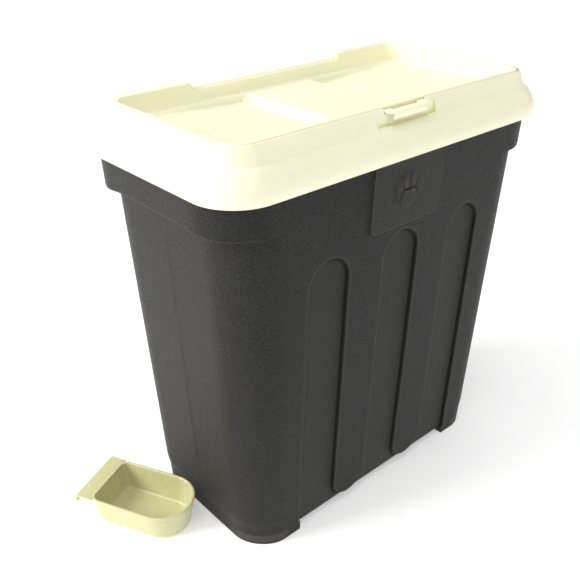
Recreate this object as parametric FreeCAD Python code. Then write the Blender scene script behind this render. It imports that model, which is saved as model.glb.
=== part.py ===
"""Pet food bin with a lift-off lid, a hinged flap with a finger clip, and a feed scoop.

Frame: millimetres, +Z up, origin on the floor under the middle of the box that holds the
bin and its scoop.  X runs along the long side of the bin, the front is at -Y.
The shapes are drawn about the middle of the tub and moved to that origin on export.
"""
import FreeCAD, Part
import math
import os

V = FreeCAD.Vector

# ---------------------------------------------------------------- driving dimensions
# Tub: every outline is a rounded rectangle (half length, half depth, corner radius)
# that grows linearly with height.
TUB_HALF_LENGTH = 157.9
TUB_HALF_DEPTH = 82.4
TUB_CORNER = 35.4
LENGTH_TAPER = 0.0518
DEPTH_TAPER = 0.0441
CORNER_TAPER = 0.0338
WALL = 2.6
FOOT_HEIGHT = 5.4
FLOOR_THICKNESS = 3.0
BOTTOM_ROUND = 5.0
FOOT_INNER_X = 105.5
FOOT_INNER_Y = 50.0
FOOT_SKIRT = 6.0

# Hand ledge: the short sides step out near the top.
LEDGE_UNDERSIDE = 324.0
LEDGE_HALF_LENGTH = 186.0
LEDGE_DRAFT = 0.035
LEDGE_CORNER = 45.0
BAND_TOP = 349.6
NECK_HALF_LENGTH = 182.4
NECK_HALF_DEPTH = 96.9
NECK_CORNER = 32.7
RIM_TOP = 369.0

# Flutes on the front and the back.
FLUTE_DEPTH = 3.0
FLUTE_HALF_WIDTH = 20.8
FLUTE_SPACING = 84.3
FLUTE_SPRING = 262.0
PILLAR_SPRING = 30.4

# Plaque and its paw print.
PLAQUE_HALF_WIDTH = 42.2
PLAQUE_BOTTOM = 290.0
PLAQUE_PROUD = 1.2
PAW_PROUD = 0.7
PAW_HEIGHT = 316.0

# Lid frame: outline of the skirt at its widest, and its section as (inset, height).
LID_HALF_LENGTH = 189.6
LID_HALF_DEPTH = 104.1
LID_CORNER = 39.9
LID_OUTSIDE = [(1.5, 350.2), (0.3, 353.5), (0.0, 357.0), (0.5, 360.5), (1.8, 364.5), (4.3, 368.6),
               (6.4, 372.0), (9.0, 374.2), (10.8, 375.2), (12.2, 377.4), (13.5, 381.0),
               (15.0, 385.0), (16.2, 387.6), (17.2, 388.9), (18.3, 389.4)]
LID_UNDERSIDE = [(3.2, 350.2), (2.4, 356.0), (2.8, 361.5), (4.6, 366.0), (6.6, 369.0)]
DOME_UNDERSIDE = [(13.2, 369.0), (13.6, 375.5), (15.6, 381.5)]
OPENING_INSET = 21.3
SEAT_TOP = 383.5
LINING_WALL = 2.2
DECK_TOP = 374.2
DECK_THICKNESS = 2.2
DECK_FRONT = 78.8
DECK_BACK = 93.5
DECK_OVERLAP = 1.0
REAR_CUT_HALF_LENGTH = 171.3
REAR_CUT_FRONT = 65.0
REAR_LINING_BACK = 92.5
REAR_LINING_BOTTOM = 372.0
RIB_FRONT = 81.8
RIB_BACK = 85.4

# Flap.
FLAP_INSET = 18.8
FLAP_TOP = 390.0
FLAP_SEAT_GAP = 0.1
FLAP_SIDE_GAP = 0.5
FLAP_EDGE = 1.2
CHANNEL_OUTER_X = 150.0
CHANNEL_BACK_WALL = 2.0
TRAY_WALL = 2.2
TRAY_RIM_WIDTH = 5.6
TRAY_REAR = 76.0
TRAY_FLOOR = 373.0
TRAY_DRAFT = 1.4
WELL_HALF_DEPTH = 69.0
WELL_DEPTH = 6.5
WELL_OUTER_X = 150.0
WELL_LEFT_X = -32.0
WELL_RIGHT_X = 42.0
WELL_SLOPE = 8.0

# Hinge along X at the back of the lid.
HINGE_Y = 83.0
HINGE_Z = 380.3
BARREL_RADIUS = 4.4
BARREL_HALF_LENGTH = 86.0
KNUCKLE_START = 87.5
KNUCKLE_LENGTH = 12.0
KNUCKLE_FRONT = 78.4
KNUCKLE_BELOW_AXIS = 4.5
KNUCKLE_TOP = 388.0
BARREL_GAP = 0.6
PIN_RADIUS = 2.5
PIN_CLEARANCE = 0.06
PIN_IN_BARREL = 10.5
PIN_IN_KNUCKLE = 9.5

# Clip and its recess in the dome.
CLIP_HALF_WIDTH = 24.0
CLIP_THICKNESS = 2.2
CLIP_AXIS_Y = -86.7
CLIP_AXIS_Z = 387.1
CLIP_FRONT_Y = -95.0
CLIP_SKIRT_BOTTOM = 381.6
CLIP_SKIRT_HALF_WIDTH = 19.0
CLIP_SKIRT_WALL = 2.0
CLIP_CORNER = 5.0
CLIP_SLOT_HALF_WIDTH = 15.5
CLIP_SLOT_FRONT = 2.4
CLIP_SLOT_BACK = 2.0
RECESS_HALF_WIDTH = 35.0
RECESS_FLOOR = 375.8
RECESS_BACK_Y = -88.2
RECESS_FILLET = 1.5
RECESS_LINING_FRONT = -96.0
RECESS_LINING_TOP = 389.0
NOTCH_SIDE_GAP = 0.6
NOTCH_BOTTOM_GAP = 0.5
NOTCH_BACK_Y = -84.0

# Scoop: lies on the floor in front of the left end of the bin.
SCOOP_ORIGIN = (-221.5, 71.0)
SCOOP_TURN = -64.0
SCOOP_WIDTH = 60.0
SCOOP_LENGTH = 94.0
SCOOP_HEIGHT = 30.0
SCOOP_WALL = 2.0
SCOOP_CORNER = 10.0
SCOOP_DRAFT = 4.5
PLATE_LENGTH = 15.0
LIP_DROP = 8.5

# From the middle of the tub to the middle of the bin and scoop together.
ORIGIN_SHIFT_X = 32.72

# Cutters run this far out of the part, past any face they have to break through.
CUT_Y = 110.0
CUT_TOP = 400.0
CUT_BOTTOM = 360.0


# ---------------------------------------------------------------- helpers
def rounded_outline(half_length, half_depth, corner, z, centre_y=0.0):
    """Closed wire of a rounded rectangle at height z: four lines and four arcs."""
    straight_x = half_length - corner
    straight_y = half_depth - corner
    bend = corner * math.sqrt(0.5)
    edges = []
    for sign_x, sign_y in ((1, 1), (-1, 1), (-1, -1), (1, -1)):
        cx = sign_x * straight_x
        cy = centre_y + sign_y * straight_y
        along_x = V(cx, cy + sign_y * corner, z)
        along_y = V(cx + sign_x * corner, cy, z)
        middle = V(cx + sign_x * bend, cy + sign_y * bend, z)
        first, last = (along_y, along_x) if sign_x * sign_y > 0 else (along_x, along_y)
        edges.append(Part.Arc(first, middle, last).toShape())
    wire_edges = []
    for index, arc in enumerate(edges):
        wire_edges.append(arc)
        start = arc.Vertexes[-1].Point
        end = edges[(index + 1) % 4].Vertexes[0].Point
        wire_edges.append(Part.LineSegment(start, end).toShape())
    return Part.Wire(wire_edges)


def stack(outlines):
    """Solid through a stack of outlines, with straight rulings between them."""
    return Part.makeLoft(outlines, True, True)


def box(x0, x1, y0, y1, z0, z1):
    return Part.makeBox(x1 - x0, y1 - y0, z1 - z0, V(x0, y0, z0))


def cylinder_x(radius, x0, x1, y, z):
    return Part.makeCylinder(radius, x1 - x0, V(x0, y, z), V(1, 0, 0))


def fuse(shapes):
    return shapes[0].multiFuse(shapes[1:]).removeSplitter()


def export(shape, name):
    solids = shape.Solids
    kept = solids[0] if len(solids) == 1 else Part.makeCompound(solids)
    kept = kept.translated(V(ORIGIN_SHIFT_X, 0, 0))
    kept.exportStep("parts/" + name + ".step")
    box_ = kept.BoundBox
    print("%-16s solids %d valid %s volume %.1f cm3  x %.1f..%.1f y %.1f..%.1f z %.1f..%.1f" % (
        name, len(solids), kept.isValid(), kept.Volume / 1000.0,
        box_.XMin, box_.XMax, box_.YMin, box_.YMax, box_.ZMin, box_.ZMax))


# ---------------------------------------------------------------- container
def tub_outline(z, inset=0.0):
    return rounded_outline(TUB_HALF_LENGTH + LENGTH_TAPER * z - inset,
                           TUB_HALF_DEPTH + DEPTH_TAPER * z - inset,
                           TUB_CORNER + CORNER_TAPER * z - inset, z)


def band_outline(z, inset=0.0):
    return rounded_outline(LEDGE_HALF_LENGTH + LEDGE_DRAFT * (z - LEDGE_UNDERSIDE) - inset,
                           TUB_HALF_DEPTH + DEPTH_TAPER * z - inset,
                           LEDGE_CORNER - inset, z)


def neck_outline(z, inset=0.0):
    return rounded_outline(NECK_HALF_LENGTH - inset, NECK_HALF_DEPTH - inset, NECK_CORNER - inset, z)


def flute_prism(side, depth, grow):
    """Cutter for the three flutes of one long side; side is -1 for the front, +1 for the back.

    Each flute is a slot with a round top.  The two pillars between the flutes have round
    bottoms, below which the flutes join.  The outline is drawn in the sloping plane of the
    wall and runs from depth inside the wall to well outside it.  grow widens it all round.
    """
    reach = 20.0
    across = depth + reach
    half = FLUTE_HALF_WIDTH + grow
    shapes = []
    for lane in (-1, 0, 1):
        centre = lane * FLUTE_SPACING
        shapes.append(box(centre - half, centre + half, 0, across, -reach, FLUTE_SPRING))
        shapes.append(Part.makeCylinder(half, across, V(centre, 0, FLUTE_SPRING), V(0, 1, 0)))
    foot_strip = box(-FOOT_INNER_X - grow, FOOT_INNER_X + grow, 0, across, -reach, PILLAR_SPRING)
    pillar_radius = FLUTE_SPACING / 2.0 - half
    for sign in (-1, 1):
        centre = sign * FLUTE_SPACING / 2.0
        foot_strip = foot_strip.cut(
            Part.makeCylinder(pillar_radius, across, V(centre, 0, PILLAR_SPRING), V(0, 1, 0)))
    shapes.append(foot_strip)
    prism = fuse(shapes)
    prism.translate(V(0, -depth, 0))
    prism.rotate(V(0, 0, 0), V(1, 0, 0), -math.degrees(math.atan(DEPTH_TAPER)))
    prism.translate(V(0, TUB_HALF_DEPTH, 0))
    if side < 0:
        prism.rotate(V(0, 0, 0), V(0, 0, 1), 180)
    return prism


def plaque():
    """Raised smooth panel on the front with a paw print."""
    slope = math.degrees(math.atan(DEPTH_TAPER))
    top = BAND_TOP
    corner = 5.0
    panel = box(-PLAQUE_HALF_WIDTH, PLAQUE_HALF_WIDTH, -1.0, PLAQUE_PROUD, PLAQUE_BOTTOM, top)
    lower = [edge for edge in panel.Edges
             if abs(edge.BoundBox.ZMax - PLAQUE_BOTTOM) < 0.01 and edge.BoundBox.YLength > 2.0]
    panel = panel.makeFillet(corner, lower)
    pads = [(0.0, -3.0, 9.0, 7.0), (-12.5, 6.0, 3.6, 5.0), (-4.6, 12.5, 3.8, 5.4),
            (4.6, 12.5, 3.8, 5.4), (12.5, 6.0, 3.6, 5.0)]
    shapes = [panel]
    for offset_x, offset_z, radius_x, radius_z in pads:
        pad = Part.makeCylinder(1.0, PAW_PROUD + 1.0, V(0, 0, 0), V(0, 1, 0))
        squash = FreeCAD.Matrix()
        squash.scale(radius_x, 1.0, radius_z)
        pad = pad.transformGeometry(squash)
        pad.translate(V(offset_x, PLAQUE_PROUD - 1.0, PAW_HEIGHT + offset_z))
        shapes.append(pad)
    sign = fuse(shapes)
    sign.rotate(V(0, 0, 0), V(1, 0, 0), -slope)
    sign.translate(V(0, TUB_HALF_DEPTH, 0))
    sign.rotate(V(0, 0, 0), V(0, 0, 1), 180)
    return sign


def make_container():
    base = FOOT_HEIGHT
    rounding = [tub_outline(base + BOTTOM_ROUND * (1 - math.cos(math.radians(angle))),
                            BOTTOM_ROUND * (1 - math.sin(math.radians(angle))))
                for angle in (25, 45, 65, 90)]
    tub = stack(rounding + [tub_outline(LEDGE_UNDERSIDE + 2.0)])
    band = stack([band_outline(LEDGE_UNDERSIDE, 2.0), band_outline(LEDGE_UNDERSIDE + 2.0),
                  band_outline(BAND_TOP)])
    neck = stack([neck_outline(BAND_TOP), neck_outline(RIM_TOP)])
    feet_block = stack([tub_outline(0.0, 1.0), tub_outline(1.0), tub_outline(base + BOTTOM_ROUND)])
    cross_long = box(-FOOT_INNER_X, FOOT_INNER_X, -120, 120, -1, base + BOTTOM_ROUND)
    # A skirt joins the two feet at each end, so each short side reaches the floor in one straight line.
    skirt_inside = TUB_HALF_LENGTH - FOOT_SKIRT
    cross_short = box(-skirt_inside, skirt_inside, -FOOT_INNER_Y, FOOT_INNER_Y, -1, base + BOTTOM_ROUND)
    feet = feet_block.cut(cross_long).cut(cross_short)
    outside = fuse([tub, band, neck, feet])
    for side in (-1, 1):
        outside = outside.cut(flute_prism(side, FLUTE_DEPTH, 0.0))
    outside = outside.fuse(plaque())

    floor = FOOT_HEIGHT + FLOOR_THICKNESS
    lower = stack([tub_outline(floor, WALL + 2.0), tub_outline(floor + 2.0, WALL),
                   tub_outline(LEDGE_UNDERSIDE + WALL, WALL)])
    for side in (-1, 1):
        lower = lower.cut(flute_prism(side, FLUTE_DEPTH + WALL, WALL))
    upper = stack([band_outline(LEDGE_UNDERSIDE + WALL, WALL), band_outline(BAND_TOP - WALL, WALL)])
    mouth = stack([neck_outline(BAND_TOP - WALL - 0.1, WALL), neck_outline(RIM_TOP + 1.0, WALL)])
    inside = fuse([lower, upper, mouth])
    return outside.cut(inside)


# ---------------------------------------------------------------- lid frame
def lid_outline(inset, z):
    return rounded_outline(LID_HALF_LENGTH - inset, LID_HALF_DEPTH - inset, LID_CORNER - inset, z)


def lid_stack(section):
    return stack([lid_outline(inset, z) for inset, z in section])


def make_lid_frame():
    outside = lid_stack(LID_OUTSIDE)
    underside = lid_stack(LID_UNDERSIDE)
    dome_hollow = lid_stack(DOME_UNDERSIDE)
    opening = lid_stack([(OPENING_INSET, CUT_BOTTOM), (OPENING_INSET, CUT_TOP)])
    rabbet_inset = FLAP_INSET - FLAP_SIDE_GAP
    rabbet = lid_stack([(rabbet_inset, SEAT_TOP), (rabbet_inset, CUT_TOP)])
    shell = outside.cut(fuse([underside, dome_hollow]))

    # Walls that close the dome round the latch recess and at the ends of the rear cut.
    recess_lining = box(-RECESS_HALF_WIDTH - LINING_WALL, RECESS_HALF_WIDTH + LINING_WALL,
                        RECESS_LINING_FRONT, RECESS_BACK_Y + LINING_WALL,
                        RECESS_FLOOR - LINING_WALL, RECESS_LINING_TOP)
    linings = [recess_lining]
    for side in (-1, 1):
        near = side * REAR_CUT_HALF_LENGTH
        far = side * (REAR_CUT_HALF_LENGTH + LINING_WALL)
        linings.append(box(min(near, far), max(near, far), REAR_CUT_FRONT, REAR_LINING_BACK,
                           REAR_LINING_BOTTOM, SEAT_TOP))
    shell = fuse([shell] + [lining.common(outside) for lining in linings])
    shell = shell.cut(opening).cut(rabbet)

    # Finger recess in front of the clip, and the notch that the clip passes through.
    recess = box(-RECESS_HALF_WIDTH, RECESS_HALF_WIDTH, -CUT_Y, RECESS_BACK_Y,
                 RECESS_FLOOR, CUT_TOP)
    floor_edges = [edge for edge in recess.Edges
                   if edge.BoundBox.XLength < 0.01 and edge.BoundBox.YLength > 5.0
                   and edge.BoundBox.ZMax < RECESS_FLOOR + 0.1]
    recess = recess.makeFillet(RECESS_FILLET, floor_edges)
    notch_half_width = CLIP_HALF_WIDTH + NOTCH_SIDE_GAP
    notch = box(-notch_half_width, notch_half_width, -CUT_Y, NOTCH_BACK_Y,
                CLIP_AXIS_Z - CLIP_THICKNESS / 2.0 - NOTCH_BOTTOM_GAP, CUT_TOP)
    shell = shell.cut(recess).cut(notch)

    # Open back: the dome stops at deck height so that the flap can swing over it.
    rear_cut = box(-REAR_CUT_HALF_LENGTH, REAR_CUT_HALF_LENGTH, REAR_CUT_FRONT, CUT_Y,
                   DECK_TOP, CUT_TOP)
    shell = shell.cut(rear_cut)
    deck_half_length = REAR_CUT_HALF_LENGTH + DECK_OVERLAP
    deck = box(-deck_half_length, deck_half_length, DECK_FRONT, DECK_BACK,
               DECK_TOP - DECK_THICKNESS, DECK_TOP).common(outside)
    barrel = cylinder_x(BARREL_RADIUS, -BARREL_HALF_LENGTH, BARREL_HALF_LENGTH, HINGE_Y, HINGE_Z)
    rib = box(-BARREL_HALF_LENGTH, BARREL_HALF_LENGTH, RIB_FRONT, RIB_BACK,
              DECK_TOP - DECK_OVERLAP, HINGE_Z)
    frame = fuse([shell, deck, barrel, rib])
    for side in (-1, 1):
        inner = side * (BARREL_HALF_LENGTH - PIN_IN_BARREL - 1.0)
        outer = side * (BARREL_HALF_LENGTH + 1.0)
        frame = frame.cut(cylinder_x(PIN_RADIUS + PIN_CLEARANCE, min(inner, outer),
                                     max(inner, outer), HINGE_Y, HINGE_Z))
    return frame


# ---------------------------------------------------------------- flap
def tray_outline(z, inset):
    """Outline of the tray: the lid outline moved in, with its back edge further forward."""
    half_length = LID_HALF_LENGTH - FLAP_INSET - inset
    front = -(LID_HALF_DEPTH - FLAP_INSET - inset)
    back = TRAY_REAR + TRAY_RIM_WIDTH - inset
    corner = LID_CORNER - FLAP_INSET - inset
    return rounded_outline(half_length, (back - front) / 2.0, corner, z, (back + front) / 2.0)


def well_wedge(side, drop, grow):
    """Wedge that sinks from nothing at the outer end to full depth beside the middle platform."""
    inner = WELL_LEFT_X if side < 0 else WELL_RIGHT_X
    top = TRAY_FLOOR - drop
    points = [V(side * WELL_OUTER_X, 0, top),
              V(inner + side * WELL_SLOPE, 0, top - WELL_DEPTH),
              V(inner - side * grow, 0, top),
              V(side * WELL_OUTER_X, 0, top)]
    face = Part.Face(Part.makePolygon(points))
    half = WELL_HALF_DEPTH + grow
    face.translate(V(0, -half, 0))
    return face.extrude(V(0, 2 * half, 0))


def make_lid_flap():
    rim_bottom = SEAT_TOP + FLAP_SEAT_GAP
    third = FLAP_EDGE / 3.0
    rim = lid_stack([(FLAP_INSET, rim_bottom), (FLAP_INSET, FLAP_TOP - FLAP_EDGE),
                     (FLAP_INSET + third, FLAP_TOP - third), (FLAP_INSET + FLAP_EDGE, FLAP_TOP)])
    tray_outer_inset = TRAY_RIM_WIDTH - TRAY_WALL
    tray_bottom = TRAY_FLOOR - TRAY_WALL
    tray = stack([tray_outline(tray_bottom, tray_outer_inset + TRAY_DRAFT),
                  tray_outline(rim_bottom + 0.5, tray_outer_inset)])
    outside = fuse([rim, tray] + [well_wedge(side, TRAY_WALL, TRAY_WALL) for side in (-1, 1)])
    knuckles = []
    for side in (-1, 1):
        near = side * KNUCKLE_START
        far = side * (KNUCKLE_START + KNUCKLE_LENGTH)
        knuckles.append(box(min(near, far), max(near, far), KNUCKLE_FRONT,
                            LID_HALF_DEPTH - FLAP_INSET,
                            HINGE_Z - KNUCKLE_BELOW_AXIS, KNUCKLE_TOP))
    outside = fuse([outside] + knuckles)

    hollow = stack([tray_outline(TRAY_FLOOR, TRAY_RIM_WIDTH + TRAY_DRAFT),
                    tray_outline(FLAP_TOP + 0.01, TRAY_RIM_WIDTH)])
    wells = [well_wedge(side, 0.0, 0.0) for side in (-1, 1)]
    flap = outside.cut(fuse([hollow] + wells))

    # The back rim is a channel open from below, cut away in the middle for the barrel.
    channel_top = FLAP_TOP - TRAY_WALL
    rear = LID_HALF_DEPTH - FLAP_INSET
    for side in (-1, 1):
        near = side * (KNUCKLE_START + KNUCKLE_LENGTH)
        far = side * CHANNEL_OUTER_X
        flap = flap.cut(box(min(near, far), max(near, far), TRAY_REAR + TRAY_WALL,
                            rear - CHANNEL_BACK_WALL, rim_bottom - 1.0, channel_top))
    barrel_space = box(-KNUCKLE_START, KNUCKLE_START, HINGE_Y - BARREL_RADIUS - BARREL_GAP, CUT_Y,
                       CUT_BOTTOM, CUT_TOP)
    low_wall = box(-KNUCKLE_START, KNUCKLE_START, TRAY_REAR - TRAY_WALL, CUT_Y,
                   rim_bottom, CUT_TOP)
    flap = flap.cut(barrel_space).cut(low_wall)
    for side in (-1, 1):
        near = side * (KNUCKLE_START - 1.0)
        far = side * (KNUCKLE_START + PIN_IN_KNUCKLE)
        flap = flap.cut(cylinder_x(PIN_RADIUS, min(near, far), max(near, far), HINGE_Y, HINGE_Z))
    return flap


def make_hinge_pin(side):
    inner = side * (BARREL_HALF_LENGTH - PIN_IN_BARREL)
    outer = side * (KNUCKLE_START + PIN_IN_KNUCKLE)
    pin = cylinder_x(PIN_RADIUS, min(inner, outer), max(inner, outer), HINGE_Y, HINGE_Z)
    return pin


def make_flap_clip():
    half = CLIP_THICKNESS / 2.0
    plate = box(-CLIP_HALF_WIDTH, CLIP_HALF_WIDTH, CLIP_FRONT_Y, CLIP_AXIS_Y,
                CLIP_AXIS_Z - half, CLIP_AXIS_Z + half)
    root = cylinder_x(half, -CLIP_HALF_WIDTH, CLIP_HALF_WIDTH, CLIP_AXIS_Y, CLIP_AXIS_Z)
    skirt = box(-CLIP_SKIRT_HALF_WIDTH, CLIP_SKIRT_HALF_WIDTH, CLIP_FRONT_Y,
                CLIP_FRONT_Y + CLIP_SKIRT_WALL, CLIP_SKIRT_BOTTOM, CLIP_AXIS_Z)
    clip = fuse([plate, root, skirt])
    slot = box(-CLIP_SLOT_HALF_WIDTH, CLIP_SLOT_HALF_WIDTH, CLIP_AXIS_Y - CLIP_SLOT_FRONT,
               CLIP_AXIS_Y + CLIP_SLOT_BACK, CUT_BOTTOM, CUT_TOP)
    clip = clip.cut(slot)
    corners = [edge for edge in clip.Edges
               if edge.BoundBox.ZLength > 1.5 and edge.BoundBox.XLength < 0.01
               and edge.BoundBox.YLength < 0.01 and abs(edge.BoundBox.YMin - CLIP_FRONT_Y) < 0.01
               and abs(edge.BoundBox.XMin) > CLIP_HALF_WIDTH - 0.1]
    return clip.makeFillet(CLIP_CORNER, corners)


# ---------------------------------------------------------------- scoop
def scoop_outline(inset, z):
    """D-shaped outline: square end at the handle, round end away from it."""
    half = SCOOP_WIDTH / 2.0 - inset
    corner = max(SCOOP_CORNER - inset, 2.5)
    bend = corner * (1 - math.sqrt(0.5))
    start = inset
    round_centre = SCOOP_LENGTH - SCOOP_WIDTH / 2.0
    tip = round_centre + half
    lower = [V(start + corner, -half, z), V(round_centre, -half, z)]
    upper = [V(round_centre, half, z), V(start + corner, half, z)]
    edges = [Part.LineSegment(lower[0], lower[1]).toShape(),
             Part.Arc(lower[1], V(tip, 0, z), upper[0]).toShape(),
             Part.LineSegment(upper[0], upper[1]).toShape(),
             Part.Arc(upper[1], V(start + bend, half - bend, z), V(start, half - corner, z)).toShape(),
             Part.LineSegment(V(start, half - corner, z), V(start, corner - half, z)).toShape(),
             Part.Arc(V(start, corner - half, z), V(start + bend, bend - half, z), lower[0]).toShape()]
    return Part.Wire(edges)


def make_scoop():
    top = SCOOP_HEIGHT
    outer = stack([scoop_outline(SCOOP_DRAFT + 3.6, 0.0), scoop_outline(SCOOP_DRAFT + 1.4, 1.4),
                   scoop_outline(SCOOP_DRAFT, 5.0), scoop_outline(1.0, top)])
    bead = stack([scoop_outline(1.0, top - 2.2), scoop_outline(0.1, top - 1.6),
                  scoop_outline(0.0, top - 0.8), scoop_outline(0.6, top)])
    plate = box(-PLATE_LENGTH, 3.0, -SCOOP_WIDTH / 2.0, SCOOP_WIDTH / 2.0, top - 2.0, top)
    lip = box(-PLATE_LENGTH, -PLATE_LENGTH + 2.0, -SCOOP_WIDTH / 2.0, SCOOP_WIDTH / 2.0,
              top - LIP_DROP, top)
    inner = stack([scoop_outline(SCOOP_DRAFT + SCOOP_WALL + 3.0, SCOOP_WALL),
                   scoop_outline(SCOOP_DRAFT + SCOOP_WALL + 0.8, SCOOP_WALL + 1.6),
                   scoop_outline(SCOOP_DRAFT + SCOOP_WALL - 0.2, 6.0),
                   scoop_outline(SCOOP_WALL + 1.0, top + 0.01)])
    scoop = fuse([outer, bead, plate, lip]).cut(inner)
    scoop.rotate(V(0, 0, 0), V(0, 0, 1), SCOOP_TURN)
    scoop.translate(V(SCOOP_ORIGIN[0], SCOOP_ORIGIN[1], 0))
    return scoop


os.makedirs("parts", exist_ok=True)
export(make_container(), "container")
export(make_lid_frame(), "lid_frame")
export(make_lid_flap(), "lid_flap")
export(make_hinge_pin(-1), "hinge_pin_left")
export(make_hinge_pin(1), "hinge_pin_right")
export(make_flap_clip(), "flap_clip")
export(make_scoop(), "scoop")
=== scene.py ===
import bmesh
import bpy
import math
import numpy as np
from mathutils import Euler, Matrix, Vector


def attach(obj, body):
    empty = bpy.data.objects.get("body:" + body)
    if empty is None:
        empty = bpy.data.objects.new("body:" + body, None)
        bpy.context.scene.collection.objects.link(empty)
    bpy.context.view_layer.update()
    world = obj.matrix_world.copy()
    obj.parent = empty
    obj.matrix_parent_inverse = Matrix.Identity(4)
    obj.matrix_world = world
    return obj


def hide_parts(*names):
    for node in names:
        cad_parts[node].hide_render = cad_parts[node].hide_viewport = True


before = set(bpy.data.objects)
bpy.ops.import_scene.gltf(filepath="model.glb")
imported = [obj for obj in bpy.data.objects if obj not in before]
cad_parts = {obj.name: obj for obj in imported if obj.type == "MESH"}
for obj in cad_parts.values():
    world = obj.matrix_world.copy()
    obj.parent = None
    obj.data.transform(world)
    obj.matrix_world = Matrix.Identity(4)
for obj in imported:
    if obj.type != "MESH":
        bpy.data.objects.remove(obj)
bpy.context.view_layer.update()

# Lengths below are in millimetres; MM turns them into metres.
MM = 0.001
# Shapes are drawn about the middle of the tub, then moved to the CAD's origin as the CAD source does.
ORIGIN_SHIFT = Vector((0.03272, 0.0, 0.0))

# ---------------------------------------------------------------- sizes, close to those of the CAD
TUB = dict(half_length=157.9, half_depth=82.4, corner=35.4)
TAPER = dict(length=0.0518, depth=0.0441, corner=0.0338)
WALL = 2.6
FOOT_HEIGHT = 5.4
FLOOR_TOP = 8.4
BOTTOM_ROUND = 5.0
FOOT_INNER_X = 105.5
FOOT_INNER_Y = 50.0
FOOT_SKIRT = 6.0
LOW_STEP = 1.5
LOW_STEP_FROM = 16.0
LOW_STEP_TO = 29.0
LEDGE_UNDERSIDE = 324.0
LEDGE_HALF_LENGTH = 186.0
LEDGE_DRAFT = 0.035
LEDGE_CORNER = 45.0
BAND_TOP = 349.6
NECK = dict(half_length=182.4, half_depth=96.9, corner=32.7)
RIM_TOP = 368.95
RIM_SHOULDER = 368.7
RIM_SIDE_TOP = 367.9
FLUTE_DEPTH = 3.0
FLUTE_HALF_WIDTH = 20.8
FLUTE_SPACING = 84.3
FLUTE_SPRING = 262.0
PILLAR_SPRING = 30.4
FLUTE_SLOPE = 3.6
LIP_OFFSET = 0.55
LIP_WIDTH = 0.8
CREASE_OFFSET = 0.15
CREASE_WIDTH = 1.3
PLAQUE_HALF_WIDTH = 42.2
PLAQUE_BOTTOM = 290.0
PLAQUE_CORNER = 5.0
PLAQUE_PROUD = 1.5
PAW_PROUD = 0.9
PAW_HEIGHT = 316.0
PAW_EDGE = 0.6
PAW_PADS = [(0.0, -3.0, 9.0, 7.0), (-12.5, 6.0, 3.6, 5.0), (-4.6, 12.5, 3.8, 5.4),
            (4.6, 12.5, 3.8, 5.4), (12.5, 6.0, 3.6, 5.0)]
WALL_BULGE = 0.9
BULGE_FROM = 10.0
BULGE_HEIGHT = 312.0
BULGE_LENGTH = 300.0
PARTING_LINE = 0.2
PARTING_FROM = 34.0
PARTING_TO = 300.0
FLUTED_HALF_LENGTH = 108.0
LEDGE_LOWER_EDGE = 325.2
LEDGE_DIP = 4.0
LEDGE_DIP_FROM = 35.0
LEDGE_DIP_TO = 78.0
LEDGE_BLEND = (318.0, 330.0)
ABOVE_ALL = 400.0

LID = dict(half_length=189.6, half_depth=104.1, corner=39.9)
SKIRT = [(1.5, 350.2), (0.3, 353.5), (0.0, 357.0), (0.5, 360.5), (1.8, 364.5), (4.3, 368.6)]
LEDGE = [(4.3, 368.6), (6.4, 372.0), (9.0, 374.2), (10.8, 375.2)]
DOME = [(10.8, 375.2), (12.2, 377.4), (13.5, 381.0), (15.0, 385.0), (16.2, 387.6),
        (17.2, 388.9), (18.3, 389.4)]
SEAT_INSET = 18.3
OPENING_INSET = 21.3
SEAT_Z = 383.5
LID_INSIDE = [(SEAT_INSET, SEAT_Z), (OPENING_INSET, SEAT_Z), (OPENING_INSET, 381.5), (15.6, 381.5),
              (13.6, 375.5), (13.2, 369.0), (6.6, 369.0), (4.6, 366.0), (2.8, 361.5), (2.4, 356.0),
              (3.2, 350.2)]
LINING = 2.2
GROOVE = [(19.0, SEAT_Z), (19.0, 387.4), (SEAT_INSET, 387.9), (SEAT_INSET, ABOVE_ALL)]
NOTCH_SIDE_GAP = 0.6
NOTCH_LOW_GAP = 0.5
DECK_FRONT = 78.8
DECK_BACK = 93.5
HINGE_RIB = (81.8, 85.4)
LID_BORE_RADIUS = 2.56
LID_BORE_DEPTH = 11.5
DECK_TOP = 374.2
REAR_CUT = dict(half_length=171.3, front=65.0)
HINGE_Y = 83.0
HINGE_Z = 380.3
BARREL_RADIUS = 4.4
BARREL_HALF_LENGTH = 86.0
KNUCKLE_START = 87.5
KNUCKLE_LENGTH = 12.0

FLAP_INSET = 19.2
FLAP_TOP = 390.0
RIM_BOTTOM = 383.6
RIM_WIDTH = 5.6
TRAY_WALL = 2.2
TRAY_BACK = 76.0
TRAY_FLOOR = 373.0
TRAY_DRAFT = 1.4
TRAY_FILLET = 2.6
TRAY_LIP_ROUND = 1.1
RIM_EDGE_ROUND = 1.2
KNUCKLE_FRONT = 78.4
KNUCKLE_BELOW_AXIS = 4.5
KNUCKLE_TOP = 388.0
CHANNEL_OUTER_X = 150.0
CHANNEL_BACK_WALL = 2.0
BARREL_GAP = 0.6
FLAP_BORE_RADIUS = 2.5
FLAP_BORE_DEPTH = 9.5
WELL_HALF_DEPTH = 69.0
WELL_DEPTH = 6.5
WELL_OUTER = 150.0
WELL_INNER = (-32.0, 42.0)
WELL_SLOPE = 8.0
WELL_EDGE = 2.4

RECESS = dict(half_width=35.0, floor=375.8, back=-88.2, fillet=1.5)
CLIP = dict(half_width=24.0, front=-95.0, back=-85.6, low=386.0, high=388.2, corner=5.0)
CLIP_SLOT = dict(half_width=15.5, front=-89.1)
CLIP_SKIRT = dict(half_width=19.0, depth=2.0, bottom=381.6)

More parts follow.
